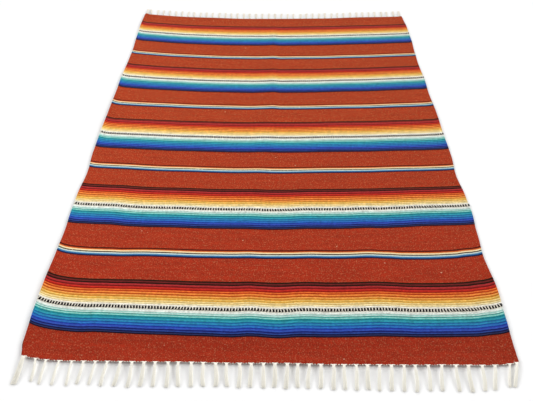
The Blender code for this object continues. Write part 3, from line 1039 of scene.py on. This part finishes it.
fringe_sizes = {
    "Yarns in lock": 11,
    "Yarn radius": 0.00135,
    "Bundle half height": 0.0020,
    "Turns": 0.18,
    "Gathering reach": 0.0100,
    "Gathering end": 0.105,
    "Gathering sharpness": 2.8,
    "Gathering depth": 0.0040,
    "Edge sharpness": 2.6,
    "Outward": -1.0,
    "Phase stray": 0.35,
    "Least room": 0.0002,
    "Tip stray": 0.03,
    "Yarn sides": 6,
    "Seed": 3,
}
tree, given = start_tree("spin_fringe", fringe_sizes)
locks = made(tree, "GeometryNodeMeshToCurve", {"Mesh": given["Geometry"]})
lock_index = made(tree, "GeometryNodeInputIndex")
pick = stray_by(tree, given["Phase stray"], {"ID": lock_index, "Seed": given["Seed"]})
keep = put(tree, "GeometryNodeCaptureAttribute", {"Geometry": locks}, domain="CURVE")
keep.capture_items.new("FLOAT", "Phase")
tree.links.new(pick, keep.inputs["Phase"])
feeds = {"Geometry": keep.outputs[0], "Amount": given["Yarns in lock"]}
copies = put(tree, "GeometryNodeDuplicateElements", feeds, domain="SPLINE")
number = put(tree, "GeometryNodeCaptureAttribute", {"Geometry": copies.outputs[0]}, domain="CURVE")
number.capture_items.new("FLOAT", "Number")
tree.links.new(copies.outputs[1], number.inputs["Number"])

# Within a lock the yarns lie side by side in two layers, in the order in which they leave the web.
along = named(tree, "along_lock")
half_width = named(tree, "half_width")
share = calc(tree, "DIVIDE", calc(tree, "ADD", number.outputs["Number"], 0.5), given["Yarns in lock"])
layer = calc(tree, "FLOORED_MODULO", number.outputs["Number"], 2.0)
layer = calc(tree, "MULTIPLY_ADD", layer, 2.0, -1.0)
angle = times(tree, share, math.pi, layer)
twist = times(tree, along, given["Turns"], 2 * math.pi)
angle = calc(tree, "ADD", calc(tree, "ADD", angle, twist), keep.outputs["Phase"])
room = calc(tree, "SUBTRACT", half_width, given["Yarn radius"])
room = calc(tree, "MAXIMUM", room, given["Least room"])
aside = times(tree, calc(tree, "COSINE", angle), room)
flatter = fade(tree, along, low=0.50, high=1.0, to_low=1.0, to_high=0.12)
above = times(tree, calc(tree, "SINE", angle), given["Bundle half height"], flatter)

# At the web's edge they come from as far as halfway to the next lock, and run along the edge to their own.
start_side = calc(tree, "MULTIPLY_ADD", share, -2.0, 1.0)
start_aside = times(tree, start_side, given["Gathering reach"])
gather = calc(tree, "MINIMUM", calc(tree, "DIVIDE", along, given["Gathering end"]), 1.0)
loose = calc(tree, "POWER", calc(tree, "SUBTRACT", 1.0, gather), given["Gathering sharpness"])
aside = calc(tree, "MULTIPLY_ADD", calc(tree, "SUBTRACT", start_aside, aside), loose, aside)
above = times(tree, above, gather)
hug = calc(tree, "SUBTRACT", calc(tree, "POWER", gather, given["Edge sharpness"]), gather)
hug = times(tree, hug, calc(tree, "ABSOLUTE", start_side), given["Gathering depth"], given["Outward"])
shift = vector_of(tree, aside, hug, above)
yarns = made(tree, "GeometryNodeSetPosition", {"Geometry": number.outputs[0], "Offset": shift})

# The tips are cut by hand, each yarn a little longer or shorter than the next.
yarn_index = made(tree, "GeometryNodeInputIndex")
stray = put(tree, "FunctionNodeRandomValue", {2: 0.0, 3: 1.0, "ID": yarn_index, "Seed": 5}).outputs[1]
trim_end = calc(tree, "SUBTRACT", 1.0, times(tree, stray, given["Tip stray"]))
yarns = made(tree, "GeometryNodeTrimCurve", {"Curve": yarns, 3: trim_end}, mode="FACTOR")
spline = put(tree, "GeometryNodeSplineParameter").outputs
feeds = {"Geometry": yarns, "Name": "along_yarn", "Value": spline["Length"]}
yarns = made(tree, "GeometryNodeStoreNamedAttribute", feeds, data_type="FLOAT")
profile = put(tree, "GeometryNodeCurvePrimitiveCircle", {"Resolution": given["Yarn sides"], 4: 1.0})
around = made(tree, "GeometryNodeInputPosition")
feeds = {"Geometry": profile.outputs[0], "Name": "around_yarn", "Value": around}
profile = made(tree, "GeometryNodeStoreNamedAttribute", feeds, data_type="FLOAT_VECTOR")
blunt = fade(tree, spline["Factor"], low=0.95, high=1.0, to_low=1.0, to_high=0.40)
slim = fade(tree, spline["Factor"], low=0.0, high=0.10, to_low=0.55, to_high=1.0)
radius = times(tree, given["Yarn radius"], times(tree, blunt, slim))
feeds = {"Curve": yarns, "Profile Curve": profile, "Scale": radius, "Fill Caps": True}
end_tree(tree, made(tree, "GeometryNodeCurveToMesh", feeds), cream)

for name, node, sets, seed, end_y, outward in (
    ("fringe_locks_front", "fringe_front", FRONT_LOCKS, 11, FRONT_END_Y, -1.0),
    ("fringe_locks_back", "fringe_back", BACK_LOCKS, 12, BACK_END_Y, 1.0),
):
    sizes = {**fringe_sizes, "Outward": outward}
    fringe = run_tree(lines_object(name, *lock_lines(sets, seed, end_y, outward)), tree, sizes, name)
    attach(fringe, "root")
    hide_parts(node)

# The knotted edge: between the locks the warp ends show as a row of small cream loops that hold the last
# weft row in place.
knot_sizes = {
    "Knots": 190,
    "Knot width": 0.0042,
    "Knot depth": 0.0024,
    "Knot height": 0.0022,
    "Unevenness": 0.35,
    "Seed": 9,
}
tree, given = start_tree("tie_knots", knot_sizes)
line, facing = along_line(tree, given["Geometry"], given["Knots"])
least = calc(tree, "SUBTRACT", 1.0, given["Unevenness"])
most = calc(tree, "ADD", 1.0, given["Unevenness"])
grow = put(tree, "FunctionNodeRandomValue", {2: least, 3: most, "Seed": given["Seed"]}).outputs[1]
sizes = scaled(tree, vector_of(tree, given["Knot width"], given["Knot depth"], given["Knot height"]), grow)
bead = made(tree, "GeometryNodeMeshUVSphere", {"Segments": 7, "Rings": 5, "Radius": 0.5})
feeds = {"Points": line, "Instance": bead, "Rotation": facing, "Scale": sizes}
end_tree(tree, made(tree, "GeometryNodeInstanceOnPoints", feeds), cream)

KNOT_REACH = 0.997
KNOT_LINE_STEPS = 160
KNOT_OUTWARD = 0.0002
KNOT_HEIGHT = 0.0013
for name, end_y, outward in (("edge_knots_front", FRONT_END_Y, -1), ("edge_knots_back", BACK_END_Y, 1)):
    line = cloth_line(end_y, KNOT_REACH, KNOT_LINE_STEPS, (0, outward * KNOT_OUTWARD, KNOT_HEIGHT))
    knots = run_tree(lines_object("knot_line", [line]), tree, knot_sizes, name)
    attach(knots, "root")

# The studio: a plain white floor, an even white surround, and three broad soft lights from behind, from
# the left and from the right.
FLOOR_REACH = 8.0
FLOOR_Z = -0.0004
FLOOR_WHITE = 0.935
AIR_LIGHT = 0.30
floor_finish, tree, shader = start_material("studio_floor", 0.8, 0.0)
shader.inputs["Base Color"].default_value = (FLOOR_WHITE, FLOOR_WHITE, FLOOR_WHITE, 1.0)
floor_mesh = bpy.data.meshes.new("studio_floor")
floor_corners = [(x * FLOOR_REACH, y * FLOOR_REACH, FLOOR_Z) for x, y in ((-1, -1), (1, -1), (1, 1), (-1, 1))]
floor_mesh.from_pydata(floor_corners, [], [(0, 1, 2, 3)])
floor_mesh.materials.append(floor_finish)
floor = add_object("studio_floor", floor_mesh)

world = bpy.data.worlds.new("studio")
world.use_nodes = True
world.node_tree.nodes["Background"].inputs["Color"].default_value = (1.0, 1.0, 1.0, 1.0)
world.node_tree.nodes["Background"].inputs["Strength"].default_value = AIR_LIGHT
bpy.context.scene.world = world
SOFT_LIGHTS = table_of(
    "name place energy angle",
    ("soft_light_behind", (0.3, 4.4, 2.6), 1.55, 48),
    ("soft_light_left", (-3.2, 0.8, 2.0), 1.50, 28),
    ("soft_light_right", (3.2, 0.8, 2.0), 1.75, 28),
)
for soft in SOFT_LIGHTS:
    light = bpy.data.lights.new(soft.name, "SUN")
    light.energy = soft.energy
    light.angle = math.radians(soft.angle)
    lamp = add_object(soft.name, light)
    lamp.location = soft.place
    lamp.rotation_euler = (-Vector(soft.place)).to_track_quat("-Z", "Y").to_euler()
bpy.context.scene.view_settings.view_transform = "Standard"
